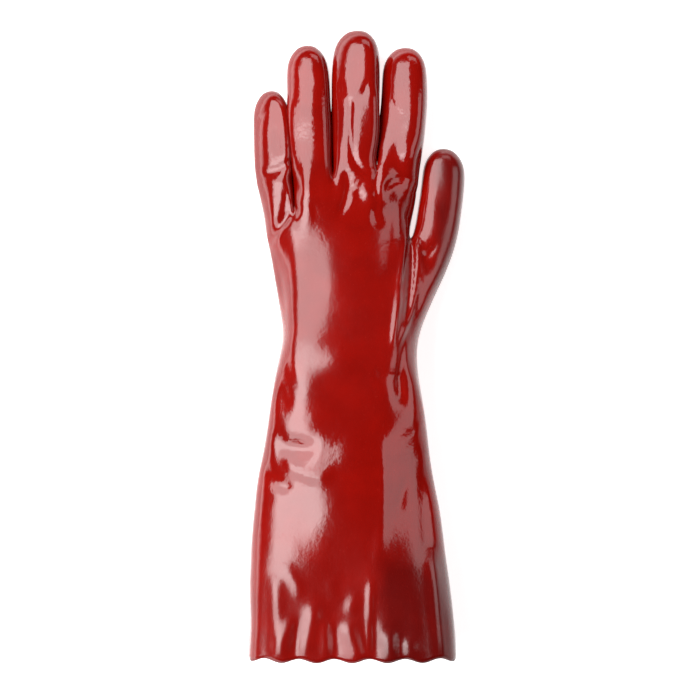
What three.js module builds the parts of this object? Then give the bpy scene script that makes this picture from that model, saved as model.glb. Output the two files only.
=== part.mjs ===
// A long PVC coated work glove for the left hand, made by dipping a knitted glove in soft PVC.
// Knit and coating are bonded into one wall, so the glove is one hollow solid, open at the cuff.
// It lies palm down: fingers towards +Y, thumb towards +X, its underside pressed flat on Z = 0.
// Millimetres. The origin is the middle of the footprint, on the surface that the glove lies on.
import * as THREE from 'three';

// Driving sizes
const SLEEVE_LENGTH = 200; // hem to the narrowest place of the wrist
const HAND_LENGTH = 112; // wrist to the fork of ring and middle finger
const CUFF_WIDTH = 133;
const CUFF_HEIGHT = 76;
const WRIST_WIDTH = 87;
const WRIST_HEIGHT = 54;
const KNUCKLE_WIDTH = 105;
const KNUCKLE_HEIGHT = 37;
const FINGER_LENGTH = 91.5; // the middle finger, beyond its fork
const FINGER_WIDTH = 28;
const FINGER_HEIGHT = 24;
const FINGERTIP_LENGTH = 17; // the domed end
const THUMB_LENGTH = 127; // wrist line to the thumb's tip
const THUMB_WIDTH = 27.5;
const THUMB_HEIGHT = 25;
const WEB_DEPTH = 8; // how far the fork's skin sags between two fingers
const WALL = 1.6; // knit and coating together
const SCALLOP_COUNT = 16; // waves of the pinked hem, all round
const SCALLOP_HEIGHT = 2.6; // crest to trough
const FLUTE_DEPTH = 1.1; // ripples that run up from the hem
const FLUTE_RUN = 52; // how far up they reach

// Cross-sections from hem to forks. y is the place along the glove. Left and right edges are shares
// of the width in the same row, top to bottom is a share of the height, and lift is the share of
// that height by which the round section clears the floor, or is pressed into it where negative.
const sleeve = (share) => share * SLEEVE_LENGTH;
const hand = (share) => SLEEVE_LENGTH + share * HAND_LENGTH;
const cuff = { width: CUFF_WIDTH, height: CUFF_HEIGHT };
const wrist = { width: WRIST_WIDTH, height: WRIST_HEIGHT };
const knuckles = { width: KNUCKLE_WIDTH, height: KNUCKLE_HEIGHT };
const SECTIONS = [
  { y: sleeve(0.0), ...cuff, left: 0.488, right: 0.513, tall: 1.0, lift: -0.026 },
  { y: sleeve(0.11), ...cuff, left: 0.48, right: 0.503, tall: 0.985, lift: -0.026 },
  { y: sleeve(0.23), ...cuff, left: 0.483, right: 0.479, tall: 0.965, lift: -0.024 },
  { y: sleeve(0.34), ...cuff, left: 0.478, right: 0.459, tall: 0.94, lift: -0.022 },
  { y: sleeve(0.46), ...cuff, left: 0.464, right: 0.435, tall: 0.905, lift: -0.02 },
  { y: sleeve(0.57), ...cuff, left: 0.445, right: 0.402, tall: 0.865, lift: -0.012 },
  { y: sleeve(0.69), ...cuff, left: 0.408, right: 0.377, tall: 0.815, lift: 0.006 },
  { y: sleeve(0.8), ...wrist, left: 0.591, right: 0.547, tall: 1.085, lift: 0.035 },
  { y: sleeve(0.92), ...wrist, left: 0.548, right: 0.5, tall: 1.02, lift: 0.06 },
  { y: sleeve(1.0), ...wrist, left: 0.508, right: 0.51, tall: 1.0, lift: 0.065 },
  { y: hand(0.1), ...wrist, left: 0.505, right: 0.53, tall: 0.985, lift: 0.05 },
  { y: hand(0.2), ...wrist, left: 0.53, right: 0.53, tall: 0.96, lift: 0.02 },
  { y: hand(0.38), ...knuckles, left: 0.471, right: 0.4, tall: 1.32, lift: -0.03 },
  { y: hand(0.56), ...knuckles, left: 0.508, right: 0.385, tall: 1.22, lift: -0.04 },
  { y: hand(0.7), ...knuckles, left: 0.532, right: 0.39, tall: 1.13, lift: -0.02 },
  { y: hand(0.85), ...knuckles, left: 0.555, right: 0.417, tall: 1.04, lift: 0.03 },
  { y: hand(1.0), ...knuckles, left: 0.575, right: 0.43, tall: 0.97, lift: 0.09 },
  { y: hand(1.15), ...knuckles, left: 0.58, right: 0.43, tall: 0.93, lift: 0.14 },
];

// Fingers from the outer edge of the hand inwards. x places are shares of the knuckle width, reach is
// the tip's distance beyond the forks as a share of the finger length, heights are shares of the
// knuckle height, and wide is a share of the finger width.
const FINGERS = [
  { name: 'little', root: -0.453, middle: -0.477, tip: -0.495, reach: 0.575, start: -0.27,
    rootHeight: 0.54, middleHeight: 0.48, tipHeight: 0.33, wide: 0.83 },
  { name: 'ring', root: -0.234, middle: -0.25, tip: -0.272, reach: 0.895, start: -0.1,
    rootHeight: 0.62, middleHeight: 0.59, tipHeight: 0.35, wide: 0.97 },
  { name: 'middle', root: 0.028, middle: 0.035, tip: 0.041, reach: 1.0, start: 0.02,
    rootHeight: 0.63, middleHeight: 0.62, tipHeight: 0.36, wide: 1.07 },
  { name: 'index', root: 0.297, middle: 0.333, tip: 0.342, reach: 0.878, start: 0.03,
    rootHeight: 0.6, middleHeight: 0.57, tipHeight: 0.35, wide: 1.02 },
];

// Forks between neighbouring fingers, as shares of the knuckle width and the hand length. The first
// and last rows are the outer edges of little and index finger.
const FORKS = [
  { x: -0.485, y: 0.8 },
  { x: -0.343, y: 0.79 },
  { x: -0.105, y: 0.985 },
  { x: 0.163, y: 1.03 },
  { x: 0.34, y: 1.02 },
];

// The thumb's middle line: x is a share of the knuckle width, y of the thumb length from the wrist
// line, height of the knuckle height and wide of the thumb width.
const THUMB_LINE = [
  { x: 0.41, y: 0.32, height: 0.63, wide: 1.24 },
  { x: 0.495, y: 0.44, height: 0.58, wide: 1.24 },
  { x: 0.533, y: 0.56, height: 0.53, wide: 1.02 },
  { x: 0.559, y: 0.69, height: 0.47, wide: 0.98 },
  { x: 0.577, y: 0.81, height: 0.41, wide: 1.0 },
  { x: 0.585, y: 1.0, height: 0.36, wide: 0.97 },
];

// Dents (depth over 0) and swellings (depth under 0) on the upper side. Each runs from one place to
// another, in shares of the knuckle width across and of the hand length from the wrist along. Half
// width and depth are shares of the finger width.
const FOLDS = [
  { name: 'thumb valley', x: 0.36, y: 0.48, toX: 0.28, toY: 0.05, half: 0.26, depth: 0.12 },
  { name: 'wrist dent', x: -0.36, y: 0.0, toX: -0.12, toY: -0.13, half: 0.36, depth: 0.07 },
  { name: 'wrist swelling', x: -0.2, y: -0.3, toX: -0.4, toY: -0.25, half: 0.5, depth: -0.06 },
  { name: 'little finger crease', x: -0.52, y: 0.96, toX: -0.4, toY: 0.88, half: 0.16, depth: 0.08 },
  { name: 'little knuckle crease', x: -0.5, y: 0.58, toX: -0.33, toY: 0.7, half: 0.16, depth: 0.09 },
  { name: 'ring knuckle swelling', x: -0.26, y: 0.93, toX: -0.12, toY: 0.9, half: 0.5, depth: -0.09 },
  { name: 'middle finger crease', x: -0.02, y: 0.97, toX: 0.16, toY: 0.86, half: 0.2, depth: 0.09 },
  { name: 'index finger crease', x: 0.2, y: 0.86, toX: 0.36, toY: 0.93, half: 0.18, depth: 0.06 },
  { name: 'forearm hollow', x: 0.26, y: -0.42, toX: 0.27, toY: -0.62, half: 0.3, depth: 0.06 },
  { name: 'forearm fold', x: -0.35, y: -0.62, toX: -0.05, toY: -0.6, half: 0.34, depth: 0.06 },
];
const FOLD_END = 0.22; // a fold fades out over this share of its run at both ends

// Mesh layout
const COLUMNS_PER_FINGER = 5;
const SIDE_COLUMNS = 4; // quads down each side edge of the hand and of each finger
const TOP_COLUMNS = COLUMNS_PER_FINGER * FINGERS.length;
const AROUND = 2 * (TOP_COLUMNS + SIDE_COLUMNS);
const HEM_ROWS = [0, 0.1, 0.25, 0.48, 0.76]; // twice as fine all round, shares of the flute run
const SLEEVE_ROW_COUNT = 11;
const HAND_ROWS = [0.08, 0.18, 0.285, 0.39, 0.495, 0.59, 0.68, 0.78, 0.89, 1.0];
const THUMB_ROW = 0; // the thumb's root opening starts at this hand row
const SIDE_ANGLE = THREE.MathUtils.degToRad(34); // half the side edge, as seen in a hand section
const FINGER_ROWS = [0.1, 0.22, 0.36, 0.5, 0.65, 0.82, 1.0]; // shares of the way to the domed end
const TIP_ANGLES = [22, 40, 57].map(THREE.MathUtils.degToRad);
const SQUARENESS = 2.2; // 2 is an ellipse

const mix = THREE.MathUtils.lerp;
const ease = (value, low, high) => THREE.MathUtils.smoothstep(value, low, high);

// A column of a table read at any place between its rows, on a smooth curve through them.
function read(rows, key, column, at) {
  const last = rows.length - 1;
  let i = 0;
  while (i < last - 1 && rows[i + 1][key] < at) i += 1;
  const slope = (j) => {
    const a = rows[Math.max(j - 1, 0)];
    const b = rows[Math.min(j + 1, last)];
    return (b[column] - a[column]) / (b[key] - a[key]);
  };
  const span = rows[i + 1][key] - rows[i][key];
  const t = THREE.MathUtils.clamp((at - rows[i][key]) / span, 0, 1);
  const bend = t * t * (3 - 2 * t);
  return mix(rows[i][column], rows[i + 1][column], bend)
    + span * slope(i) * t * (1 - t) * (1 - t)
    - span * slope(i + 1) * t * t * (1 - t);
}

const SECTION_EDGES = SECTIONS.map((row) => ({
  y: row.y,
  left: -row.left * row.width,
  right: row.right * row.width,
  half: (row.tall * row.height) / 2,
  middle: row.height * (row.tall / 2 + row.lift),
}));

// Middle and half sizes of the section at a place along the glove.
function sectionAt(y) {
  const value = (column) => read(SECTION_EDGES, 'y', column, y);
  const left = value('left');
  const right = value('right');
  return { x: (left + right) / 2, z: value('middle'), wide: (right - left) / 2, high: value('half') };
}

const rounded = (value) => Math.sign(value) * Math.abs(value) ** (2 / SQUARENESS);

function bodyPoint(y, angle) {
  const s = sectionAt(y);
  return new THREE.Vector3(
    s.x + s.wide * rounded(Math.cos(angle)), y, s.z + s.high * rounded(Math.sin(angle)));
}

// The angle at which the section at y passes through a given x, on its upper side.
function angleAtX(y, x) {
  const s = sectionAt(y);
  const share = THREE.MathUtils.clamp((x - s.x) / s.wide, -0.999, 0.999);
  return Math.acos(Math.sign(share) * Math.abs(share) ** (SQUARENESS / 2));
}

// Angles that divide the hem into equal lengths, counted clockwise from its upper left corner.
function equalAngles(count) {
  const steps = 720;
  const start = Math.PI;
  const walked = [0];
  for (let i = 1; i <= steps; i += 1) {
    const from = bodyPoint(0, start - ((i - 1) / steps) * 2 * Math.PI);
    walked.push(walked[i - 1] + from.distanceTo(bodyPoint(0, start - (i / steps) * 2 * Math.PI)));
  }
  const offset = SIDE_COLUMNS / 2 / AROUND;
  return Array.from({ length: count }, (_, k) => {
    const wanted = (k / count + offset) * walked[steps];
    const turns = Math.floor(wanted / walked[steps]);
    const rest = wanted - turns * walked[steps];
    let i = 1;
    while (walked[i] < rest) i += 1;
    const part = (rest - walked[i - 1]) / (walked[i] - walked[i - 1]);
    return start - (turns + (i - 1 + part) / steps) * 2 * Math.PI;
  });
}

// Ring order: the upper side from left to right, down the right edge, the underside back to the
// left, and up the left edge. These turn a column or a place on an edge into its index.
const upper = (column) => column;
const rightEdge = (step) => TOP_COLUMNS + step;
const under = (column) => AROUND - SIDE_COLUMNS - column;
const leftEdge = (step) => AROUND - SIDE_COLUMNS + step;

const EVEN_ANGLES = equalAngles(AROUND);

// Angles of a hand section: the side edges open up towards the thumb, and the columns on both faces
// line up with the forks.
function handAngles(opening, lining) {
  const angles = [...EVEN_ANGLES];
  for (let j = 0; j <= TOP_COLUMNS; j += 1) {
    const finger = Math.min(Math.floor(j / COLUMNS_PER_FINGER), FINGERS.length - 1);
    const part = j / COLUMNS_PER_FINGER - finger;
    const x = mix(FORKS[finger].x, FORKS[finger + 1].x, part) * KNUCKLE_WIDTH;
    const even = mix(Math.PI - SIDE_ANGLE, SIDE_ANGLE, j / TOP_COLUMNS);
    const opened = mix(EVEN_ANGLES[upper(j)], even, opening);
    const lined = angleAtX(hand(mix(FORKS[finger].y, FORKS[finger + 1].y, part)), x);
    angles[upper(j)] = mix(opened, lined, lining);
    angles[under(j)] = -angles[upper(j)];
  }
  for (let step = 1; step < SIDE_COLUMNS; step += 1) {
    const share = step / SIDE_COLUMNS;
    angles[rightEdge(step)] = mix(angles[upper(TOP_COLUMNS)], angles[under(TOP_COLUMNS)], share);
    angles[leftEdge(step)] = mix(2 * Math.PI - angles[upper(0)], angles[upper(0)], share);
  }
  return angles;
}

// How far the last hand row lies ahead of or behind the plain cross-section, at each column.
function forkLead(index) {
  const column = index <= rightEdge(0) ? index
    : index <= under(TOP_COLUMNS) ? TOP_COLUMNS
      : index <= under(0) ? under(0) - index : 0;
  const finger = Math.min(Math.floor(column / COLUMNS_PER_FINGER), FINGERS.length - 1);
  const part = ease(column / COLUMNS_PER_FINGER - finger, 0, 1);
  return (mix(FORKS[finger].y, FORKS[finger + 1].y, part) - 1) * HAND_LENGTH - WEB_DEPTH;
}

// The surface as it is built: points, and faces of three or four corners that face outwards.
const points = [];
const faces = [];

function addRing(ring) {
  return ring.map((point) => points.push(point) - 1);
}

function bridge(near, far, skip = () => false) {
  near.forEach((_, k) => {
    const next = (k + 1) % near.length;
    if (!skip(k)) faces.push([near[k], near[next], far[next], far[k]]);
  });
}

// Joins a ring to one with half as many points.
function bridgeToHalf(fine, coarse) {
  coarse.forEach((_, k) => {
    const next = (k + 1) % coarse.length;
    const after = (2 * k + 2) % fine.length;
    faces.push([fine[2 * k], fine[2 * k + 1], coarse[k]]);
    faces.push([fine[2 * k + 1], coarse[next], coarse[k]]);
    faces.push([fine[2 * k + 1], fine[after], coarse[next]]);
  });
}

// The sleeve: a fine part with the pinked and fluted hem, then plain rings up to the wrist.
function buildSleeve() {
  const fineAngles = equalAngles(2 * AROUND);
  const fine = HEM_ROWS.map((share) => addRing(fineAngles.map((angle, k) => {
    const wave = -Math.cos((k / fineAngles.length) * SCALLOP_COUNT * 2 * Math.PI);
    const fade = 1 - ease(share, 0, 1);
    const point = bodyPoint(share * FLUTE_RUN, angle);
    const middle = sectionAt(share * FLUTE_RUN);
    const outwards = new THREE.Vector3(point.x - middle.x, 0, point.z - middle.z).normalize();
    point.addScaledVector(outwards, (wave * FLUTE_DEPTH * fade) / 2);
    point.y -= share === 0 ? (wave * SCALLOP_HEIGHT) / 2 : 0;
    return point;
  })));
  const rings = [];
  for (let i = 0; i < SLEEVE_ROW_COUNT; i += 1) {
    const y = mix(FLUTE_RUN, SLEEVE_LENGTH, i / (SLEEVE_ROW_COUNT - 1));
    const angles = handAngles(ease(y, sleeve(0.7), hand(HAND_ROWS[THUMB_ROW])), 0);
    rings.push(addRing(angles.map((angle) => bodyPoint(y, angle))));
  }
  for (let i = 1; i < fine.length; i += 1) bridge(fine[i - 1], fine[i]);
  bridgeToHalf(fine[fine.length - 1], rings[0]);
  for (let i = 1; i < rings.length; i += 1) bridge(rings[i - 1], rings[i]);
  return { hem: fine[0], top: rings[rings.length - 1] };
}

// The hand, from the wrist to the forks, with the opening that the thumb grows out of.
function buildHand(wristRing) {
  const thumbRows = COLUMNS_PER_FINGER;
  const lastRow = HAND_ROWS[HAND_ROWS.length - 1];
  const rings = HAND_ROWS.map((share) => {
    const lead = ease(share, HAND_ROWS[THUMB_ROW + thumbRows - 1], lastRow);
    const angles = handAngles(1, ease(share, HAND_ROWS[THUMB_ROW], lastRow));
    return addRing(angles.map((angle, k) => bodyPoint(hand(share) + lead * forkLead(k), angle)));
  });
  bridge(wristRing, rings[0]);
  rings.slice(1).forEach((ring, i) => {
    const inThumb = i >= THUMB_ROW && i < THUMB_ROW + thumbRows;
    bridge(rings[i], ring, (k) => inThumb && k >= rightEdge(0) && k < rightEdge(SIDE_COLUMNS));
  });
  return rings;
}

// Between two fingers the skin runs in a short arch from the back of the hand to the palm.
function buildWebs(ring) {
  return FORKS.slice(1, -1).map((fork, i) => {
    const column = COLUMNS_PER_FINGER * (i + 1);
    const back = points[ring[upper(column)]];
    const palm = points[ring[under(column)]];
    return addRing([1, 2, 3].map((step) => {
      const share = step / SIDE_COLUMNS;
      const point = back.clone().lerp(palm, share);
      point.y += Math.sin(share * Math.PI) * WEB_DEPTH;
      return point;
    }));
  });
}

// A finger's or the thumb's own frame: its middle line, and its half sizes along it.
function limb(linePoints, widths, height) {
  const line = new THREE.CatmullRomCurve3(linePoints, false, 'centripetal');
  const length = line.getLength();
  const straight = length - FINGERTIP_LENGTH;
  return (along, across, up) => {
    const radius = Math.min(Math.hypot(across, up), 1);
    const at = straight * along + (along < 1 ? 0 : FINGERTIP_LENGTH * Math.sqrt(1 - radius * radius));
    const share = Math.min(at / length, 1);
    const forward = line.getTangentAt(share);
    const right = new THREE.Vector3().crossVectors(forward, new THREE.Vector3(0, 0, 1)).normalize();
    const above = new THREE.Vector3().crossVectors(right, forward);
    const wide = read(widths, 'at', 'wide', share);
    return line.getPointAt(share)
      .addScaledVector(right, (across * wide) / 2)
      .addScaledVector(above, (up * height) / 2);
  };
}

const LIMB_COUNT = 2 * (COLUMNS_PER_FINGER + SIDE_COLUMNS);
const LIMB_ANGLES = Array.from({ length: LIMB_COUNT }, (_, k) =>
  Math.PI - ((k + SIDE_COLUMNS / 2) / LIMB_COUNT) * 2 * Math.PI);

// Rings from the root to the domed tip, which a small grid of quads closes.
function buildLimb(root, place, settle) {
  let last = root;
  const rootPoints = root.map((index) => points[index].clone());
  const start = place(0, 0, 0);
  const grow = (ring) => {
    const next = addRing(ring);
    bridge(last, next);
    last = next;
  };
  FINGER_ROWS.forEach((along) => grow(LIMB_ANGLES.map((angle, k) => {
    const round = place(along, Math.cos(angle), Math.sin(angle));
    const drawn = rootPoints[k].clone().add(place(along, 0, 0)).sub(start);
    return drawn.lerp(round, ease(along, -0.02, settle));
  })));
  TIP_ANGLES.forEach((tilt) => grow(LIMB_ANGLES.map((angle) =>
    place(1, Math.cos(angle) * Math.cos(tilt), Math.sin(angle) * Math.cos(tilt)))));
  closeTip(last, place, Math.cos(TIP_ANGLES[TIP_ANGLES.length - 1]));
}

// A grid inside the last ring, whose points lie on the dome.
function closeTip(ring, place, radius) {
  const across = COLUMNS_PER_FINGER;
  const down = SIDE_COLUMNS;
  const corner = (k) => new THREE.Vector2(Math.cos(LIMB_ANGLES[k]), Math.sin(LIMB_ANGLES[k]));
  const edge = (i, j) => {
    if (j === 0) return i;
    if (i === across) return across + j;
    if (j === down) return 2 * across + down - i;
    return LIMB_COUNT - j;
  };
  const grid = (i, j) => {
    if (i === 0 || j === 0 || i === across || j === down) return ring[edge(i, j)];
    const u = i / across;
    const v = j / down;
    const flat = corner(edge(i, 0)).lerp(corner(edge(i, down)), v)
      .add(corner(edge(0, j)).lerp(corner(edge(across, j)), u));
    const blend = corner(edge(0, 0)).lerp(corner(edge(across, 0)), u)
      .lerp(corner(edge(0, down)).lerp(corner(edge(across, down)), u), v);
    flat.sub(blend).multiplyScalar(radius);
    return points.push(place(1, flat.x, flat.y)) - 1;
  };
  const indices = [];
  for (let j = 0; j <= down; j += 1) {
    indices.push(Array.from({ length: across + 1 }, (_, i) => grid(i, j)));
  }
  for (let j = 0; j < down; j += 1) {
    for (let i = 0; i < across; i += 1) {
      faces.push([indices[j][i], indices[j][i + 1], indices[j + 1][i + 1], indices[j + 1][i]]);
    }
  }
}

function buildFingers(ring, webs) {
  FINGERS.forEach((finger, f) => {
    const first = COLUMNS_PER_FINGER * f;
    const columns = Array.from({ length: COLUMNS_PER_FINGER + 1 }, (_, j) => first + j);
    const steps = [1, 2, 3];
    const rightChain = f < webs.length ? webs[f] : steps.map((step) => ring[rightEdge(step)]);
    const leftChain = f > 0 ? [...webs[f - 1]].reverse() : steps.map((step) => ring[leftEdge(step)]);
    const root = [
      ...columns.map((j) => ring[upper(j)]), ...rightChain,
      ...[...columns].reverse().map((j) => ring[under(j)]), ...leftChain,
    ];
    const spot = (x, share, height) => new THREE.Vector3(
      x * KNUCKLE_WIDTH, hand(1) + share * FINGER_LENGTH, height * KNUCKLE_HEIGHT);
    const line = [
      spot(finger.root, finger.start, finger.rootHeight),
      spot(finger.middle, mix(finger.start, finger.reach, 0.5), finger.middleHeight),
      spot(finger.tip, finger.reach, finger.tipHeight),
    ];
    const wide = finger.wide * FINGER_WIDTH;
    const widths = [
      { at: 0, wide: 0.97 * wide }, { at: 0.35, wide: 0.98 * wide },
      { at: 0.65, wide }, { at: 1, wide: 0.97 * wide },
    ];
    buildLimb(root, limb(line, widths, FINGER_HEIGHT), 0.36);
  });
}

function buildThumb(rings) {
  const low = THUMB_ROW;
  const high = THUMB_ROW + COLUMNS_PER_FINGER;
  const rows = Array.from({ length: COLUMNS_PER_FINGER + 1 }, (_, i) => low + i);
  const steps = [1, 2, 3];
  const root = [
    ...[...rows].reverse().map((row) => rings[row][rightEdge(0)]),
    ...steps.map((step) => rings[low][rightEdge(step)]),
    ...rows.map((row) => rings[row][rightEdge(SIDE_COLUMNS)]),
    ...[...steps].reverse().map((step) => rings[high][rightEdge(step)]),
  ];
  const line = THUMB_LINE.map((row) => new THREE.Vector3(
    row.x * KNUCKLE_WIDTH, SLEEVE_LENGTH + row.y * THUMB_LENGTH, row.height * KNUCKLE_HEIGHT));
  const first = THUMB_LINE[0].y;
  const widths = THUMB_LINE.map((row) => ({
    at: (row.y - first) / (1 - first), wide: row.wide * THUMB_WIDTH,
  }));
  buildLimb(root, limb(line, widths, THUMB_HEIGHT), 0.4);
  return root;
}

// Draws each point within reach of a place towards the middle of its neighbours, to round a joint.
function relax(place, reach, rounds) {
  const neighbours = points.map(() => new Set());
  faces.forEach((face) => face.forEach((a, i) => {
    const b = face[(i + 1) % face.length];
    neighbours[a].add(b);
    neighbours[b].add(a);
  }));
  for (let round = 0; round < rounds; round += 1) {
    const moved = points.map((point, index) => {
      const pull = 0.5 * (1 - ease(point.distanceTo(place), reach / 2, reach));
      if (pull === 0 || neighbours[index].size === 0) return point;
      const middle = new THREE.Vector3();
      neighbours[index].forEach((other) => middle.add(points[other]));
      return point.clone().lerp(middle.divideScalar(neighbours[index].size), pull);
    });
    points.splice(0, points.length, ...moved);
  }
}

function normals() {
  const sums = points.map(() => new THREE.Vector3());
  const triangle = new THREE.Triangle();
  const normal = new THREE.Vector3();
  triangles(faces).forEach((face) => {
    triangle.set(...face.map((index) => points[index]));
    triangle.getNormal(normal).multiplyScalar(triangle.getArea());
    face.forEach((index) => sums[index].add(normal));
  });
  return sums.map((sum) => sum.normalize());
}

function triangles(list) {
  return list.flatMap((face) => (face.length === 3 ? [face]
    : [[face[0], face[1], face[2]], [face[0], face[2], face[3]]]));
}

// Depth of all folds together at a point of the upper side.
function foldDepth(point) {
  return FOLDS.reduce((sum, fold) => {
    const from = new THREE.Vector2(fold.x * KNUCKLE_WIDTH, hand(fold.y));
    const run = new THREE.Vector2(fold.toX * KNUCKLE_WIDTH, hand(fold.toY)).sub(from);
    const spot = new THREE.Vector2(point.x, point.y).sub(from);
    const share = THREE.MathUtils.clamp(spot.dot(run) / run.lengthSq(), 0, 1);
    const away = spot.addScaledVector(run, -share).length() / (fold.half * FINGER_WIDTH);
    const ends = ease(share, -FOLD_END, FOLD_END) * (1 - ease(share, 1 - FOLD_END, 1 + FOLD_END));
    return sum + fold.depth * FINGER_WIDTH * Math.exp(-away * away) * ends;
  }, 0);
}

function pressFolds() {
  normals().forEach((normal, index) => {
    const facing = ease(normal.z, 0, 0.5);
    points[index].addScaledVector(normal, -facing * foldDepth(points[index]));
  });
}

function restOnFloor() {
  points.forEach((point) => { point.z = Math.max(point.z, 0); });
}

// The cavity is the same surface, one wall further in, joined to the outside along the hem.
function addCavity(hem) {
  const inwards = normals();
  const count = points.length;
  const isHem = new Set(hem);
  const outside = points.slice();
  outside.forEach((point, index) => {
    const normal = inwards[index];
    if (isHem.has(index)) normal.setY(0).normalize();
    points.push(point.clone().addScaledVector(normal, -WALL));
  });
  const cavity = faces.map((face) => face.map((index) => index + count).reverse());
  faces.push(...cavity);
  hem.forEach((index, k) => {
    const next = hem[(k + 1) % hem.length];
    faces.push([next, index, index + count, next + count]);
  });
}

function gloveGeometry() {
  const { hem, top } = buildSleeve();
  const rings = buildHand(top);
  const lastRing = rings[rings.length - 1];
  const webs = buildWebs(lastRing);
  buildFingers(lastRing, webs);
  const thumbRoot = buildThumb(rings);
  const thumbPlace = thumbRoot.reduce((sum, index) => sum.add(points[index]), new THREE.Vector3())
    .divideScalar(thumbRoot.length);
  relax(thumbPlace, 0.4 * THUMB_LENGTH, 5);
  webs.forEach((web) => relax(points[web[1]].clone(), FINGER_WIDTH, 2));
  pressFolds();
  restOnFloor();
  addCavity(hem);
  const geometry = new THREE.BufferGeometry().setFromPoints(points);
  geometry.setIndex(triangles(faces).flat());
  geometry.computeBoundingBox();
  const middle = geometry.boundingBox.getCenter(new THREE.Vector3());
  geometry.translate(-middle.x, -middle.y, 0);
  geometry.computeVertexNormals();
  return geometry;
}

const coating = new THREE.MeshStandardMaterial({ color: 0x9c1109, roughness: 0.22, metalness: 0 });
const glove = new THREE.Mesh(gloveGeometry(), coating);
glove.name = 'coated_glove';

const part = new THREE.Group();
part.add(glove);

export default part;
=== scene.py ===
import math

import bpy
import numpy as np
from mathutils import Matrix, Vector


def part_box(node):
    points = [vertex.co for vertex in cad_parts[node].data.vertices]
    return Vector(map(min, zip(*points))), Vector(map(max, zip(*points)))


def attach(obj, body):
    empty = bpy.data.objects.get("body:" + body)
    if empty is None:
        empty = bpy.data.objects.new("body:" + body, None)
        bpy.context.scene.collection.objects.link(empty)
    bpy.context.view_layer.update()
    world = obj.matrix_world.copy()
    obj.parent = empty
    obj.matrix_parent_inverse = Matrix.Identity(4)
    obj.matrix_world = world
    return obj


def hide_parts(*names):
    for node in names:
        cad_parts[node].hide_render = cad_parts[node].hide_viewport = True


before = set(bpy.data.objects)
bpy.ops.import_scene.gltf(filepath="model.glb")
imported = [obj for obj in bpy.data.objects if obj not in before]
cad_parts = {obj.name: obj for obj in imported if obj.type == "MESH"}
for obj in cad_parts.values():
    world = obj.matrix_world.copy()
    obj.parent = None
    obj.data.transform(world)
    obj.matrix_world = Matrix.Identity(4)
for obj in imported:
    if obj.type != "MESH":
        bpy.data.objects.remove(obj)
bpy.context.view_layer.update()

# The coating: red PVC that the knit glove is dipped in, up to four times, and baked. It is soft
# and glossy, deeper in colour in random soft clouds, and the knit below shows as a faint grain.
# Shade is also painted into its colour, as a deeper red on the sleeve's lower right and on the
# thumb.
# The classes here write every pattern of this file as plain sums.

PVC_RED = (0.235, 0.002, 0.0003)
# The deeper red serves both the random clouds and the painted shade on the sleeve and the thumb
PVC_DEEP_RED_AND_SHADE = (0.11, 0.0006, 0.0001)
PVC_SPECK = (0.42, 0.03, 0.02)
PVC_INDEX = 1.53
CLOUDS, SMEARS, WAVES, RIPPLES, GRAIN, SPECKS = 38, 120, 150, 420, 820, 1400  # per metre
CLOUD_SHARE, SPECK_SHARE = 0.3, 0.5  # how much each may change the colour
SLEEVE_SHADE_SHARE, THUMB_SHADE_SHARE = 0.9, 0.7  # and the deep red painted as shade on the sleeve's lower right and on the thumb
GLOSS = 0.08  # roughness where the coating is cleanest
SMEARED, CUFF_DULL, BACK_DULL, THUMB_DULL = 0.04, 0.11, 0.06, 0.16  # what is added to it there
WAVE_DEPTH, GRAIN_DEPTH = 0.00012, 0.00004  # metres


class Amount:
    """A number that a pattern gives at each place. Sums on it become Math nodes."""

    def __init__(self, recipe, socket):
        self.recipe, self.socket = recipe, socket

    def work(self, operation, *numbers):
        settings = {"operation": operation}
        return self.recipe.node("ShaderNodeMath", settings, dict(enumerate(numbers)))

    def __add__(self, other):
        return self.work("ADD", self, other)

    def __sub__(self, other):
        return self.work("SUBTRACT", self, other)

    def __rsub__(self, other):
        return self.work("SUBTRACT", other, self)

    def __mul__(self, other):
        return self.work("MULTIPLY", self, other)

    def sine(self):
        return self.work("SINE", self)

    def cosine(self):
        return self.work("COSINE", self)

    def angle(self, across):
        """The angle in radians of a place that is this far up and so far across."""
        return self.work("ARCTAN2", self, across)

    def between(self, low, high, first=0.0, last=1.0):
        """Eases from first to last while the number goes from low to high."""
        return self.recipe.node("ShaderNodeMapRange", {"interpolation_type": "SMOOTHSTEP"}, {
            "Value": self, "From Min": low, "From Max": high, "To Min": first, "To Max": last})

    __radd__ = __add__
    __rmul__ = __mul__


class Recipe:
    """The nodes of one finish, one shape or the studio's walls."""

    def __init__(self, tree):
        self.tree = tree

    def node(self, kind, settings=None, sockets=None, result=0):
        node = self.tree.nodes.new(kind)
        for name, value in (settings or {}).items():
            setattr(node, name, value)
        for name, value in (sockets or {}).items():
            self.fill(node.inputs[name], value)
        return Amount(self, node.outputs[result])

    def fill(self, socket, value):
        if isinstance(value, Amount):
            self.tree.links.new(value.socket, socket)
        else:
            socket.default_value = value

    def parts(self, vector):
        node = self.node("ShaderNodeSeparateXYZ", None, {0: vector}).socket.node
        return [Amount(self, output) for output in node.outputs]


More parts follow.
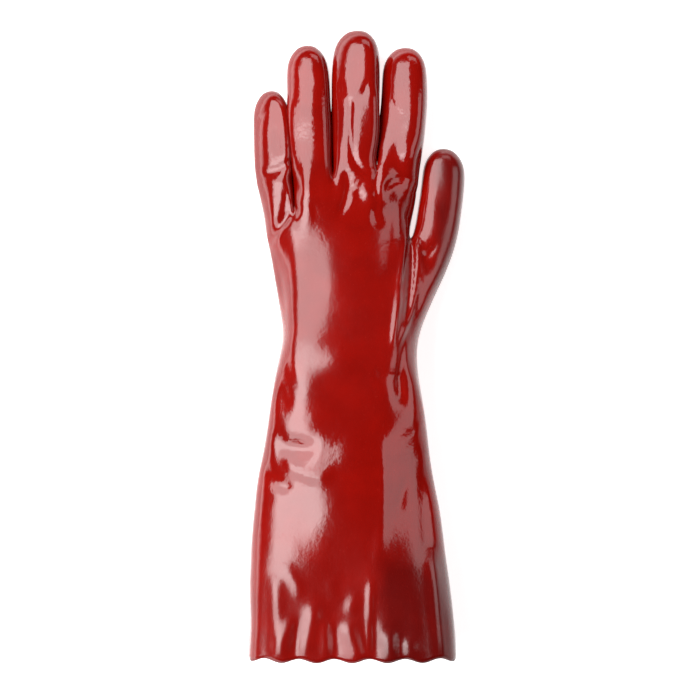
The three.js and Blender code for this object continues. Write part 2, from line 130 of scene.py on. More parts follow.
class Finish(Recipe):
    """A material on the Principled shader, with patterns on the piece's own place."""

    def __init__(self, name, **constants):
        self.material = bpy.data.materials.new(name)
        self.material.use_nodes = True
        super().__init__(self.material.node_tree)
        self.shader = self.tree.nodes["Principled BSDF"]
        for socket, value in constants.items():
            self.shader.inputs[socket.replace("_", " ")].default_value = value
        self.place = self.node("ShaderNodeTexCoord", result="Object")

    def noise(self, scale, detail=2.0, roughness=0.5):
        return self.node("ShaderNodeTexNoise", None, {
            "Vector": self.place, "Scale": scale, "Detail": detail, "Roughness": roughness})

    def colours(self, share, first, second):
        first, second = (c if isinstance(c, Amount) else (*c, 1) for c in (first, second))
        sockets = {0: share, 6: first, 7: second}
        return self.node("ShaderNodeMix", {"data_type": "RGBA"}, sockets, 2)

    def relief(self, height, depth, strength=1.0, over=None):
        sockets = {"Height": height, "Distance": depth, "Strength": strength}
        if over is not None:
            sockets["Normal"] = over
        return self.node("ShaderNodeBump", None, sockets)

    def give(self, name, value):
        self.fill(self.shader.inputs[name], value)


def coating_finish():
    coat = Finish("pvc_coating", IOR=PVC_INDEX)
    across, along, _ = coat.parts(coat.place)
    # places are in metres from the glove's middle
    # Painted shade: the colour turns deeper red towards the sleeve's right side near the hem
    sleeve_painted_shade = across.between(0.005, 0.024) * along.between(-0.115, -0.155) * SLEEVE_SHADE_SHARE
    # Painted shade: the thumb's colour turns deeper red; the same mask also makes its coating
    # duller
    thumb_shade_and_dull = across.between(0.046, 0.056) * along.between(-0.03, 0.01) * THUMB_SHADE_SHARE
    cuff = along.between(-0.08, -0.18)
    hand_back = along.between(-0.07, 0.0) * along.between(0.09, 0.05)
    clouds = coat.noise(CLOUDS, 3.0).between(0.7, 0.35) * CLOUD_SHARE
    red = coat.colours(clouds + sleeve_painted_shade + thumb_shade_and_dull, PVC_RED, PVC_DEEP_RED_AND_SHADE)
    specks = coat.noise(SPECKS, 1.0).between(0.7, 0.8) * SPECK_SHARE
    coat.give("Base Color", coat.colours(specks, red, PVC_SPECK))
    dull = coat.noise(SMEARS) * SMEARED + cuff * CUFF_DULL + hand_back * BACK_DULL
    coat.give("Roughness", dull + thumb_shade_and_dull * THUMB_DULL + GLOSS)
    cells = coat.node("ShaderNodeTexVoronoi", {"feature": "SMOOTH_F1"},
                      {"Vector": coat.place, "Scale": GRAIN})
    soft = coat.relief(coat.noise(WAVES) + coat.noise(RIPPLES) * 0.4, WAVE_DEPTH)
    coat.give("Normal", coat.relief(cells, GRAIN_DEPTH, 0.6, over=soft))
    return coat.material


pvc_coating = coating_finish()

# The dipped form: the glove is made on a full, rounded former, so it stands up by itself. It lies
# palm down, fingers to +Y and thumb to +X. It is worked out in millimetres from the hem, in rings
# of 48 points up to the fingers' forks and of 18 on the fingers and the thumb, all in quads.

LOW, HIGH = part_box("coated_glove")
NOMINAL_LENGTH = 404.955  # hem to middle fingertip, what the tables below were drawn for
MM = (HIGH.y - LOW.y) / NOMINAL_LENGTH

SLEEVE_LENGTH = 200
HAND_LENGTH = 112
CUFF = (133, 76)  # width and height
WRIST = (87, 54)
KNUCKLES = (105, 37)
FINGER_LENGTH = 91.5
FINGER_WIDTH = 28
FINGER_HEIGHT = 24
FINGERTIP_LENGTH = 17
THUMB_LENGTH = 127
THUMB_WIDTH = 27.5
THUMB_HEIGHT = 25
WEB_DEPTH = 8
WALL = 1.6


def table(columns, rows):
    """A table with named columns, each a numpy array."""
    names = columns.split()
    return {name: np.array([row[i] for row in rows]) for i, name in enumerate(names)}


def ease(value, low, high):
    t = np.clip((value - low) / (high - low), 0, 1)
    return t * t * (3 - 2 * t)


def mix(a, b, share):
    return a + (b - a) * share


def read(rows, key, column, at):
    """A column read between its rows, on a smooth curve through them."""
    keys, values = rows[key], rows[column]
    last = len(keys) - 1
    i = int(np.clip(np.searchsorted(keys, at, side="left") - 1, 0, last - 1))

    def slope(j):
        a, b = max(j - 1, 0), min(j + 1, last)
        return (values[b] - values[a]) / (keys[b] - keys[a])

    span = keys[i + 1] - keys[i]
    t = np.clip((at - keys[i]) / span, 0, 1)
    bend = t * t * (3 - 2 * t)
    return (mix(values[i], values[i + 1], bend) + span * slope(i) * t * (1 - t) ** 2
            - span * slope(i + 1) * t * t * (1 - t))


def sleeve(share):
    return share * SLEEVE_LENGTH


def hand(share):
    return SLEEVE_LENGTH + share * HAND_LENGTH


def section(y, size, left, right, tall, lift):
    """A row of the table below, from shares of a width and a height."""
    width, height = size
    return (y, -left * width, right * width, tall * height / 2, height * (tall / 2 + lift))


SECTIONS = table("y left right high middle", [
    section(sleeve(0.0), CUFF, 0.488, 0.513, 1.0, -0.026),
    section(sleeve(0.11), CUFF, 0.48, 0.503, 0.985, -0.026),
    section(sleeve(0.23), CUFF, 0.483, 0.479, 0.965, -0.024),
    section(sleeve(0.34), CUFF, 0.478, 0.459, 0.94, -0.022),
    section(sleeve(0.46), CUFF, 0.464, 0.435, 0.905, -0.02),
    section(sleeve(0.57), CUFF, 0.445, 0.402, 0.865, -0.012),
    section(sleeve(0.69), CUFF, 0.408, 0.377, 0.815, 0.006),
    section(sleeve(0.8), WRIST, 0.591, 0.547, 1.085, 0.035),
    section(sleeve(0.92), WRIST, 0.548, 0.5, 1.02, 0.06),
    section(sleeve(1.0), WRIST, 0.508, 0.51, 1.0, 0.065),
    section(hand(0.1), WRIST, 0.505, 0.53, 0.985, 0.05),
    section(hand(0.2), WRIST, 0.53, 0.53, 0.96, 0.02),
    section(hand(0.38), KNUCKLES, 0.471, 0.4, 1.32, -0.03),
    section(hand(0.56), KNUCKLES, 0.508, 0.385, 1.22, -0.04),
    section(hand(0.7), KNUCKLES, 0.532, 0.39, 1.13, -0.02),
    section(hand(0.85), KNUCKLES, 0.555, 0.417, 1.04, 0.03),
    section(hand(1.0), KNUCKLES, 0.575, 0.43, 0.97, 0.09),
    section(hand(1.15), KNUCKLES, 0.58, 0.43, 0.93, 0.14),
])
# x and heights in shares of the knuckles' width and height, reach and start of the finger's length
FINGERS = table("root middle tip reach start root_z middle_z tip_z wide", [
    (-0.453, -0.477, -0.495, 0.575, -0.27, 0.54, 0.48, 0.33, 0.83),
    (-0.234, -0.25, -0.272, 0.895, -0.1, 0.62, 0.59, 0.35, 0.97),
    (0.028, 0.035, 0.041, 1.0, 0.02, 0.63, 0.62, 0.36, 1.07),
    (0.297, 0.333, 0.342, 0.878, 0.03, 0.6, 0.57, 0.35, 1.02),
])
FORKS = table("x y", [(-0.485, 0.8), (-0.343, 0.79), (-0.105, 0.985), (0.163, 1.03), (0.34, 1.02)])
THUMB_LINE = table("x y z wide", [
    (0.41, 0.32, 0.63, 1.28), (0.493, 0.44, 0.58, 1.3), (0.531, 0.56, 0.53, 1.08),
    (0.557, 0.69, 0.47, 1.03), (0.577, 0.81, 0.41, 1.03), (0.585, 1.0, 0.36, 0.98),
])

ROLLS = (24, 12, 15, 13, 3)  # degrees that each finger's back, and the thumb's, faces to -X
ROLL_RUN = 1.3  # the roll grows this fast from the middle of the side to the top
FLAT_TOP = 0.62  # under 1, fingers are flatter on top than an ellipse

# Quads across a finger's back and up its side, from which the numbers round the hand and round a
# finger follow, and the shares of the lengths at which the rings stand
COLUMNS, SIDE = 5, 4
FINGER_COUNT = len(FINGERS["root"])
TOP = COLUMNS * FINGER_COUNT
AROUND = 2 * (TOP + SIDE)
LIMB_AROUND = 2 * (COLUMNS + SIDE)
LIMB_ANGLES = [math.pi - (k + SIDE / 2) / LIMB_AROUND * 2 * math.pi for k in range(LIMB_AROUND)]
SLEEVE_ROWS = 19
HAND_ROWS = (0.08, 0.18, 0.285, 0.39, 0.495, 0.59, 0.68, 0.78, 0.89, 1.0)
SIDE_ANGLE = math.radians(34)
FINGER_ROWS = (0.1, 0.22, 0.36, 0.5, 0.65, 0.82, 1.0)
TIP_ANGLES = [math.radians(a) for a in (22, 40, 57)]

# The underside is close to an ellipse. The back is squarer: near the hem and at the wrist it is
# nearly flat, and past the share of the width called rim it slopes off and drops as a steep side
SQUARENESS = 2.2
RIM_SLOPE = 0.6
RIM_POWER, RIM_CORNER = 50, 0.25
BACKS = table("y square tall rim", [
    (0, 4.8, 0.95, 0.862), (45, 4.6, 0.95, 0.862), (62, 3.4, 0.97, 0.84), (85, 2.7, 1.0, 0.79),
    (130, 2.6, 1.0, 0.78), (162, 3.8, 1.0, 0.86), (200, 3.6, 1.0, 1.0), (238, 2.35, 1.0, 1.0),
    (260, 2.2, 1.0, 1.0),
])


def section_at(y):
    """Middle x and z, half width and half height."""
    left, right = (read(SECTIONS, "y", side, y) for side in ("left", "right"))
    return ((left + right) / 2, read(SECTIONS, "y", "middle", y), (right - left) / 2,
            read(SECTIONS, "y", "high", y))


def body_point(y, angle):
    """A place on the sleeve or hand, at a distance from the hem and an angle over the back."""
    x, z, wide, high = section_at(y)
    c, s = math.cos(angle), math.sin(angle)
    power = 2 / SQUARENESS
    across, up = abs(c) ** power, math.copysign(abs(s) ** power, s)
    if s > 0:
        square, tall, rim = (np.interp(y, BACKS["y"], BACKS[name])
                             for name in ("square", "tall", "rim"))
        up = (1 - min(across, rim) ** square) ** (1 / square)
        if across > rim:
            up -= RIM_SLOPE * wide / high * (across - rim)
            up *= ((1 - min(across, 1) ** RIM_POWER) / (1 - rim ** RIM_POWER)) ** RIM_CORNER
        up *= tall
    return np.array([x + wide * math.copysign(across, c), y, z + high * up])


def angle_at_x(y, x):
    """The angle at which the back stands over or beside an x."""
    middle, _, wide, _ = section_at(y)
    share = np.clip((x - middle) / wide, -0.999, 0.999)
    return math.acos(math.copysign(abs(share) ** (SQUARENESS / 2), share))


FINE_STEPS = 721


def equal_angles(count):
    """Angles that divide the hem into equal lengths, clockwise from its upper left."""
    steps = np.linspace(math.pi, -math.pi, FINE_STEPS)
    ring = np.array([body_point(0, a) for a in steps])
    walked = np.concatenate([[0], np.cumsum(np.linalg.norm(np.diff(ring, axis=0), axis=1))])
    wanted = (np.arange(count) / count + SIDE / 2 / AROUND) * walked[-1]
    return np.interp(wanted % walked[-1], walked, steps) - 2 * math.pi * (wanted // walked[-1])


EVEN = equal_angles(AROUND)


# The numbers of a ring's points run over the back, down the right side, under the palm and up the
# left side
def upper(column):
    return column


def right_edge(step):
    return TOP + step


def under(column):
    return AROUND - SIDE - column


def left_edge(step):
    return AROUND - SIDE + step


def at_forks(column, what, eased=False):
    """The x or y of the line through the forks, read at a column of the back."""
    finger = min(column // COLUMNS, FINGER_COUNT - 1)
    part = column / COLUMNS - finger
    part = ease(part, 0, 1) if eased else part
    return mix(FORKS[what][finger], FORKS[what][finger + 1], part)


def hand_angles(opening, lining):
    """A ring's angles, from evenly spread at the hem to lined up with the fingers at the forks."""
    angles = EVEN.copy()
    for j in range(TOP + 1):
        even = mix(math.pi - SIDE_ANGLE, SIDE_ANGLE, j / TOP)
        lined = angle_at_x(hand(at_forks(j, "y")), at_forks(j, "x") * KNUCKLES[0])
        angles[upper(j)] = mix(mix(EVEN[upper(j)], even, opening), lined, lining)
        angles[under(j) % AROUND] = -angles[upper(j)]
    for step in range(1, SIDE):
        share = step / SIDE
        angles[right_edge(step)] = mix(angles[upper(TOP)], angles[under(TOP)], share)
        angles[left_edge(step)] = mix(2 * math.pi - angles[0], angles[0], share)
    return angles


def fork_lead(index):
    """How far a point of the last ring stands before or past the knuckles' end."""
    if index > under(0):
        column = 0
    elif index >= under(TOP):
        column = under(0) - index
    else:
        column = min(index, TOP)
    return (at_forks(column, "y", eased=True) - 1) * HAND_LENGTH - WEB_DEPTH


points, faces = [], []


def add_ring(ring):
    points.extend(ring)
    return list(range(len(points) - len(ring), len(points)))


def bridge(near, far, skip=()):
    for k in range(len(near)):
        if k not in skip:
            n = (k + 1) % len(near)
            faces.append((near[k], near[n], far[n], far[k]))


LINE_STEPS = 60


def limb(line, at, widths, height, roll):
    """A function that places a point of a finger or of the thumb.

    It takes the share of the length along its middle line, and how far across that and up from it
    the point is, each from -1 to 1. Widths are given at shares of the length.
    """
    turn = math.tan(math.radians(roll))
    widths = {"at": np.array(at), "wide": np.array(widths)}
    knots = np.array(line)
    chords = np.sqrt(np.linalg.norm(np.diff(knots, axis=0), axis=1))
    ends = np.vstack([2 * knots[0] - knots[1], knots, 2 * knots[-1] - knots[-2]])
    spans = np.concatenate([[chords[0]], chords, [chords[-1]]])
    fine = []
    for i in range(len(knots) - 1):
        p0, p1, p2, p3 = ends[i:i + 4]
        a, b, c = spans[i:i + 3]
        leave = ((p1 - p0) / a - (p2 - p0) / (a + b) + (p2 - p1) / b) * b
        arrive = ((p2 - p1) / b - (p3 - p1) / (b + c) + (p3 - p2) / c) * b
        for t in np.linspace(0, 1, LINE_STEPS, endpoint=i == len(knots) - 2):
            fine.append((2 * t**3 - 3 * t**2 + 1) * p1 + (t**3 - 2 * t**2 + t) * leave
                        + (3 * t**2 - 2 * t**3) * p2 + (t**3 - t**2) * arrive)
    fine = np.array(fine)
    walked = np.concatenate([[0], np.cumsum(np.linalg.norm(np.diff(fine, axis=0), axis=1))])
    length = walked[-1]

    def spot(distance):
        return np.array([np.interp(distance, walked, fine[:, i]) for i in range(3)])

    def place(along, across, up):
        radius = min(math.hypot(across, up), 1)
        dome = 0 if along < 1 else FINGERTIP_LENGTH * math.sqrt(1 - radius * radius)
        distance = min((length - FINGERTIP_LENGTH) * along + dome, length)
        forward = spot(min(distance + 1, length)) - spot(max(distance - 1, 0))
        forward /= np.linalg.norm(forward)
        right = np.cross(forward, (0, 0, 1))
        right /= np.linalg.norm(right)
        wide = read(widths, "at", "wide", distance / length)
        top = up ** FLAT_TOP if up > 0 else up
        rolled = min(ROLL_RUN * max(top, 0), 1)
        rise = top * height / 2 + across * turn * wide / 2 * rolled
        return spot(distance) + right * across * wide / 2 + np.cross(right, forward) * rise

    return place


def build_limb(root, place, settle):
    """Rings from a root in the hand to a closed tip, in the limb's own section from settle on."""
    last = root
    start = place(0, 0, 0)
    rings = []
    for along in FINGER_ROWS:
        weight = ease(along, -0.02, settle)
        shift = place(along, 0, 0) - start
        rings.append([mix(points[root[k]] + shift, place(along, math.cos(a), math.sin(a)), weight)
                      for k, a in enumerate(LIMB_ANGLES)])
    for tilt in TIP_ANGLES:
        rings.append([place(1, math.cos(a) * math.cos(tilt), math.sin(a) * math.cos(tilt))
                      for a in LIMB_ANGLES])
    for ring in rings:
        ring = add_ring(ring)
        bridge(last, ring)
        last = ring
    close_tip(last, place, math.cos(TIP_ANGLES[-1]))


def close_tip(ring, place, radius):
    """A grid of quads inside the last ring, on the dome."""
    def edge(i, j):
        if j == 0:
            return i
        if i == COLUMNS:
            return COLUMNS + j
        return 2 * COLUMNS + SIDE - i if j == SIDE else LIMB_AROUND - j

    def corner(i, j):
        angle = LIMB_ANGLES[edge(i, j) % LIMB_AROUND]
        return np.array([math.cos(angle), math.sin(angle)])

    def index(i, j):
        if i in (0, COLUMNS) or j in (0, SIDE):
            return ring[edge(i, j) % LIMB_AROUND]
        u, v = i / COLUMNS, j / SIDE
        flat = mix(corner(i, 0), corner(i, SIDE), v) + mix(corner(0, j), corner(COLUMNS, j), u)
        flat -= mix(mix(corner(0, 0), corner(COLUMNS, 0), u),
                    mix(corner(0, SIDE), corner(COLUMNS, SIDE), u), v)
        points.append(place(1, *(flat * radius)))
        return len(points) - 1

    grid = [[index(i, j) for i in range(COLUMNS + 1)] for j in range(SIDE + 1)]
    for j in range(SIDE):
        for i in range(COLUMNS):
            faces.append((grid[j][i], grid[j][i + 1], grid[j + 1][i + 1], grid[j + 1][i]))


def relax(place, reach, rounds):
    """Draws each point near a place towards its neighbours' middle, to round a joint."""
    neighbours = [set() for _ in points]
    for face in faces:
        for a, b in zip(face, face[1:] + face[:1]):
            neighbours[a].add(b)
            neighbours[b].add(a)
    for _ in range(rounds):
        old = [p.copy() for p in points]
        for k, near in enumerate(neighbours):
            pull = 0.5 * (1 - ease(np.linalg.norm(old[k] - place), reach / 2, reach))
            if near and pull > 0:
                points[k] = mix(old[k], np.mean([old[n] for n in near], axis=0), pull)


BETWEEN = range(1, SIDE)  # the points of a side without its corners
LITTLE_TAPER, FINGER_TAPER = 1.1, (1.06, 1.04, 0.98)  # shares of the width, from root to tip
FINGER_SETTLE, THUMB_SETTLE = 0.36, 0.4  # shares of the length, taken up by the root
THUMB_JOINT = 0.4  # the same, for the stretch that is rounded off into the hand


def build_hand():
    """All rings from the hem to the forks, with the hole for the thumb left open."""
    rows = []
    for y in np.linspace(0, SLEEVE_LENGTH, SLEEVE_ROWS):
        angles = hand_angles(ease(y, sleeve(0.7), hand(HAND_ROWS[0])), 0)
        rows.append(add_ring([body_point(y, a) for a in angles]))
    for share in HAND_ROWS:
        lead = ease(share, HAND_ROWS[COLUMNS - 1], HAND_ROWS[-1])
        angles = hand_angles(1, ease(share, HAND_ROWS[0], HAND_ROWS[-1]))
        rows.append(add_ring([body_point(hand(share) + lead * fork_lead(k), a)
                              for k, a in enumerate(angles)]))
    for i in range(1, len(rows)):
        beside_thumb = SLEEVE_ROWS < i <= SLEEVE_ROWS + COLUMNS
        bridge(rows[i - 1], rows[i], range(TOP, TOP + SIDE) if beside_thumb else ())
    return rows


def build_fingers(last):
    """Four fingers on the last ring, and the webs between them."""
    webs = []
    for f in range(1, FINGER_COUNT):
        back, palm = points[last[upper(COLUMNS * f)]], points[last[under(COLUMNS * f)]]
        arch = [mix(back, palm, s / SIDE) + (0, math.sin(s / SIDE * math.pi) * WEB_DEPTH, 0)
                for s in BETWEEN]
        webs.append(add_ring(arch))
    for f in range(FINGER_COUNT):
        right = webs[f] if f < len(webs) else [last[right_edge(s)] for s in BETWEEN]
        left = webs[f - 1][::-1] if f else [last[left_edge(s)] for s in BETWEEN]
        columns = range(COLUMNS * f, COLUMNS * (f + 1) + 1)
        root = [last[upper(j)] for j in columns] + right
        root += [last[under(j) % AROUND] for j in reversed(columns)] + left
        row = {name: column[f] for name, column in FINGERS.items()}
        line = [(x * KNUCKLES[0], hand(1) + share * FINGER_LENGTH, z * KNUCKLES[1])
                for x, share, z in (
                    (row["root"], row["start"], row["root_z"]),
                    (row["middle"], (row["start"] + row["reach"]) / 2, row["middle_z"]),
                    (row["tip"], row["reach"], row["tip_z"]))]
        wide = row["wide"] * FINGER_WIDTH
        near = LITTLE_TAPER if f == 0 else FINGER_TAPER[0]
        widths = [near * wide, near * wide, FINGER_TAPER[1] * wide, FINGER_TAPER[2] * wide]
        place = limb(line, (0, 0.35, 0.65, 1), widths, FINGER_HEIGHT, ROLLS[f])
        build_limb(root, place, FINGER_SETTLE)
    return webs


def build_thumb(rows):
    """The thumb, on the hole that the first rings of the hand leave at the right."""
    low, high = SLEEVE_ROWS, SLEEVE_ROWS + COLUMNS
    root = [rows[r][right_edge(0)] for r in range(high, low - 1, -1)]
    root += [rows[low][right_edge(s)] for s in BETWEEN]
    root += [rows[r][right_edge(SIDE)] for r in range(low, high + 1)]
    root += [rows[high][right_edge(s)] for s in reversed(BETWEEN)]
    line = [(x * KNUCKLES[0], SLEEVE_LENGTH + y * THUMB_LENGTH, z * KNUCKLES[1])
            for x, y, z in zip(THUMB_LINE["x"], THUMB_LINE["y"], THUMB_LINE["z"])]
    first = THUMB_LINE["y"][0]
    at = (THUMB_LINE["y"] - first) / (1 - first)
    place = limb(line, at, THUMB_LINE["wide"] * THUMB_WIDTH, THUMB_HEIGHT, ROLLS[4])
    build_limb(root, place, THUMB_SETTLE)
    relax(np.mean([points[k] for k in root], axis=0), THUMB_JOINT * THUMB_LENGTH, 5)


hand_rings = build_hand()
finger_webs = build_fingers(hand_rings[-1])
build_thumb(hand_rings)
for web in finger_webs:
    relax(points[web[1]].copy(), FINGER_WIDTH, 2)

# The hem: after dipping, the cuff is cut with wavy shears, so its edge is scalloped, and the wall
# behind it stays slightly fluted. One tree of nodes makes all scallops and even flutes.

SCALLOPS = 16  # waves round the hem
SCALLOP_HEIGHT = 2.6  # from valley to crest, as the rest here in millimetres
SCALLOP_RUN = 14
FLUTE_DEPTH = 0.8
FLUTE_RUN = 52
ROUND_HEM = "round_hem"  # cosine and sine of the place round the hem, as a turn


def hem_tree():
    """The tree, and its sizes by the names of its inputs."""
    tree = bpy.data.node_groups.new("scalloped_hem", "GeometryNodeTree")
    face = tree.interface
    face.new_socket("Geometry", in_out="INPUT", socket_type="NodeSocketGeometry")
    sizes = {"Scallops": SCALLOPS, "Scallop height": SCALLOP_HEIGHT, "Scallop run": SCALLOP_RUN,
             "Flute depth": FLUTE_DEPTH, "Flute run": FLUTE_RUN}
    for name in sizes:
        face.new_socket(name, in_out="INPUT", socket_type="NodeSocketFloat")
    face.new_socket("Geometry", in_out="OUTPUT", socket_type="NodeSocketGeometry")
    recipe = Recipe(tree)
    given = recipe.node("NodeGroupInput").socket.node
    count, height, run, depth, flute_run = (Amount(recipe, given.outputs[name]) for name in sizes)
    turn = recipe.node("GeometryNodeInputNamedAttribute", {"data_type": "FLOAT_VECTOR"},
                       {"Name": ROUND_HEM})
    cosine, sine, _ = recipe.parts(turn)
    _, along, _ = recipe.parts(recipe.node("GeometryNodeInputPosition"))
    wave = (sine.angle(cosine) * count).cosine() * -0.5
    near, nearer = along.between(flute_run, 0), along.between(run, 0)
    flute = recipe.node("ShaderNodeVectorMath", {"operation": "SCALE"}, {
        0: recipe.node("GeometryNodeInputNormal"), "Scale": wave * depth * near})
    scallop = recipe.node("ShaderNodeCombineXYZ", None, {"Y": wave * height * nearer * -1.0})
    offset = recipe.node("ShaderNodeVectorMath", {"operation": "ADD"}, {0: flute, 1: scallop})
    moved = recipe.node("GeometryNodeSetPosition", None,
                        {"Geometry": Amount(recipe, given.outputs[0]), "Offset": offset})
    real = recipe.node("GeometryNodeRealizeInstances", None, {"Geometry": moved})
    red = recipe.node("GeometryNodeSetMaterial", None, {"Geometry": real, "Material": pvc_coating})
    recipe.fill(tree.nodes.new("NodeGroupOutput").inputs[0], red)
    return tree, sizes


def mesh_from(name, vertices, polygons):
    mesh = bpy.data.meshes.new(name)
    mesh.from_pydata([tuple(v) for v in vertices], [], polygons)
    mesh.validate()
    return mesh


def smooth_surface(subdivisions):
    """The form after subdivision and with its hem, as arrays of points and quads."""
    used = sorted({k for face in faces for k in face})
    renumber = {k: i for i, k in enumerate(used)}
    cage = mesh_from("form", [points[k] for k in used],
                     [tuple(renumber[k] for k in face) for face in faces])
    turns = np.array([k % AROUND / AROUND if k < SLEEVE_ROWS * AROUND else 0 for k in used])
    turns = turns * 2 * math.pi
    spots = np.stack([np.cos(turns), np.sin(turns), 0 * turns], 1)
    round_hem = cage.attributes.new(ROUND_HEM, "FLOAT_VECTOR", "POINT")
    round_hem.data.foreach_set("vector", spots.ravel())
    holder = bpy.data.objects.new("form", cage)
    bpy.context.scene.collection.objects.link(holder)
    smooth = holder.modifiers.new("Smooth", "SUBSURF")
    smooth.levels = smooth.render_levels = subdivisions
    smooth.boundary_smooth = "ALL"
    tree, sizes = hem_tree()
    wavy = holder.modifiers.new("Hem", "NODES")
    wavy.node_group = tree
    for item in tree.interface.items_tree:
        if item.in_out == "INPUT" and item.name in sizes:
            wavy[item.identifier] = float(sizes[item.name])
    fine = bpy.data.meshes.new_from_object(holder.evaluated_get(
        bpy.context.evaluated_depsgraph_get()))
    at = np.zeros(len(fine.vertices) * 3)
    fine.vertices.foreach_get("co", at)
    quads = np.zeros(len(fine.loops), int)
    fine.loops.foreach_get("vertex_index", quads)
    bpy.data.objects.remove(holder)
    bpy.data.meshes.remove(fine)
    bpy.data.meshes.remove(cage)
    return at.reshape(-1, 3), quads.reshape(-1, 4)


def normals_of(at, quads):
    """The way out at each point, as an average over its quads."""
    a, b, c, d = (at[quads[:, i]] for i in range(4))
    area = np.cross(c - a, d - b)
    out = np.zeros_like(at)
    for i in range(4):
        np.add.at(out, quads[:, i], area)
    return out / np.maximum(np.linalg.norm(out, axis=1, keepdims=True), 1e-9)


# Folds: the soft wall creases at the roots of the fingers, in the valley beside the thumb and at
# the wrist, and it swells and dents softly between. They are placed by the photograph's pixels, so
# the camera's numbers come first: straight above the glove, with the image's up along +Y.

FRAME_PIXELS = 700
CAMERA_DISTANCE = 1500  # to the middle of the glove's height
MIDDLE_HEIGHT = 38
MM_PER_PIXEL = 0.643
CAMERA_X, CAMERA_Y = 0.0, 195.6  # over this place, counted from the hem's middle line


def pixels(at):
    """Where the photograph shows each point."""
    scale = CAMERA_DISTANCE / MM_PER_PIXEL / (CAMERA_DISTANCE + MIDDLE_HEIGHT - at[:, 2])
    half = FRAME_PIXELS / 2
    across, along = (at[:, 0] - CAMERA_X) * scale, (at[:, 1] - CAMERA_Y) * scale
    return np.stack([half + across, half - along], 1)


# Each row is a crease (depth over 0) or a ridge (under 0) on the upper side, from one pixel to
# another, bowed sideways. Half widths are in pixels, depths in millimetres.
CREASES = table("x y to_x to_y bow half depth", [
    # little finger and the edge of the hand below it
    (266, 173, 292, 160, 2, 4.0, 1.6),
    (256, 186, 284, 182, -2, 6.0, -0.7),
    (289, 102, 291, 166, 0, 7.0, -1.6),
    (268, 242, 298, 209, -3, 4.5, 1.7),
    (279, 224, 286, 190, 3, 5.0, 1.1),
    (258, 120, 266, 112, 0, 3.0, 0.35),
    # ring finger and the pad under it
    (289, 176, 300, 195, -2, 3.5, 1.0),
    (298, 193, 316, 217, -5, 2.6, 0.3),
    (343, 172, 339, 214, -6, 4.0, 1.0),
    (300, 69, 315, 84, 1, 2.2, 0.45),
    # middle finger
    (351, 97, 353, 160, 2, 2.6, 0.8),
    (375, 90, 378, 150, 0, 7.0, -1.5),
    (346, 174, 372, 187, 1, 2.6, 1.5),
    (348, 183, 363, 195, 1, 2.2, 1.3),
    (353, 157, 379, 182, 4, 3.0, 1.1),
    (379, 172, 377, 200, 3, 3.5, 1.2),
    (340, 86, 347, 98, 2, 3.0, 0.7),
    (367, 86, 355, 99, -2, 2.6, 0.8),
    (346, 98, 355, 112, 1, 2.2, 0.4),
    # index finger
    (384, 189, 409, 178, -3, 3.2, 1.3),
    (391, 101, 402, 118, 1, 2.4, 0.45),
    (409, 146, 410, 194, 0, 9.0, -2.2),
    (409, 178, 419, 196, 2, 3.2, 0.7),
    (376, 205, 380, 226, 3, 4.5, 0.9),
    # thumb web and valley
    (412, 242, 406, 322, -2, 3.0, 1.6),
    (416, 244, 401, 340, -6, 3.2, -1.4),
    (417, 243, 425, 284, 0, 2.6, -1.0),
    (406, 222, 393, 345, 0, 3.4, -1.5),
    (408, 240, 399, 296, 0, 1.8, 0.6),
    (424, 256, 436, 244, 2, 3.2, 1.0),
    (418, 300, 412, 372, 3, 4.0, 0.8),
    (409, 320, 402, 400, 3, 5.5, 1.3),
    (426, 252, 432, 270, 1, 4.0, 0.5),
    # wrist
    (287, 350, 299, 392, 4, 4.0, 0.7),
    (377, 372, 404, 378, 2, 4.5, 0.8),
    (402, 440, 418, 417, 3, 1.6, 0.25),
    # sleeve
    (276, 440, 314, 449, 4, 8.0, 1.5),
    (287, 462, 330, 476, 6, 5.5, -0.9),
    (264, 470, 290, 488, 2, 7.0, 1.5),
    (408, 477, 399, 510, 0, 4.5, 0.6),
    (431, 552, 441, 664, 0, 6.0, -1.6),
    (276, 580, 277, 655, 0, 7.0, -1.2),
    (383, 446, 378, 560, -3, 6.0, -0.6),
    (426, 470, 428, 556, 2, 7.0, 0.7),
    (371, 583, 370, 652, 1, 3.0, -1.0),
    (276, 440, 270, 474, 0, 6.0, -0.4),
    (399, 210, 398, 282, 0, 7.0, -1.3),
    (304, 104, 304, 160, 0, 7.0, -0.3),
])
CREASE_END = 0.2  # the share of its length over which a crease fades at each end

# Soft swellings (height over 0) and dents: middle and half sizes in pixels, turn in degrees
# anticlockwise, height in millimetres.
SWELLINGS = table("x y wide long turn height", [
    (307, 188, 9, 26, 0, 1.8),
    (277, 288, 13, 56, 4, -2.6),
    (324, 192, 13, 22, 0, 0.5),
    (277, 136, 9, 32, 4, -1.2),
    (272, 207, 8, 26, -8, 1.0),
    (378, 191, 16, 20, 0, 3.6),
    (357, 68, 9, 22, 0, -0.6),
    (399, 138, 10, 46, 0, -0.8),
    (441, 196, 9, 38, 0, -0.9),
    (314, 280, 17, 52, 3, -1.0),
    (398, 300, 9, 60, 2, 0.8),
    (340, 361, 22, 14, 0, 2.0),
    (283, 392, 10, 22, -8, -2.1),
    (400, 386, 10, 20, 0, -1.5),
    (413, 418, 9, 30, 0, 0.7),
    (285, 214, 10, 14, 0, -0.7),
    (299, 514, 25, 36, 0, -2.2),
    (296, 448, 15, 9, -20, -0.8),
    (404, 503, 19, 50, 0, -1.8),
    (358, 452, 28, 24, 0, 2.2),
    (342, 590, 26, 60, 0, -0.8),
    (440, 212, 10, 44, 6, 0.4),
])

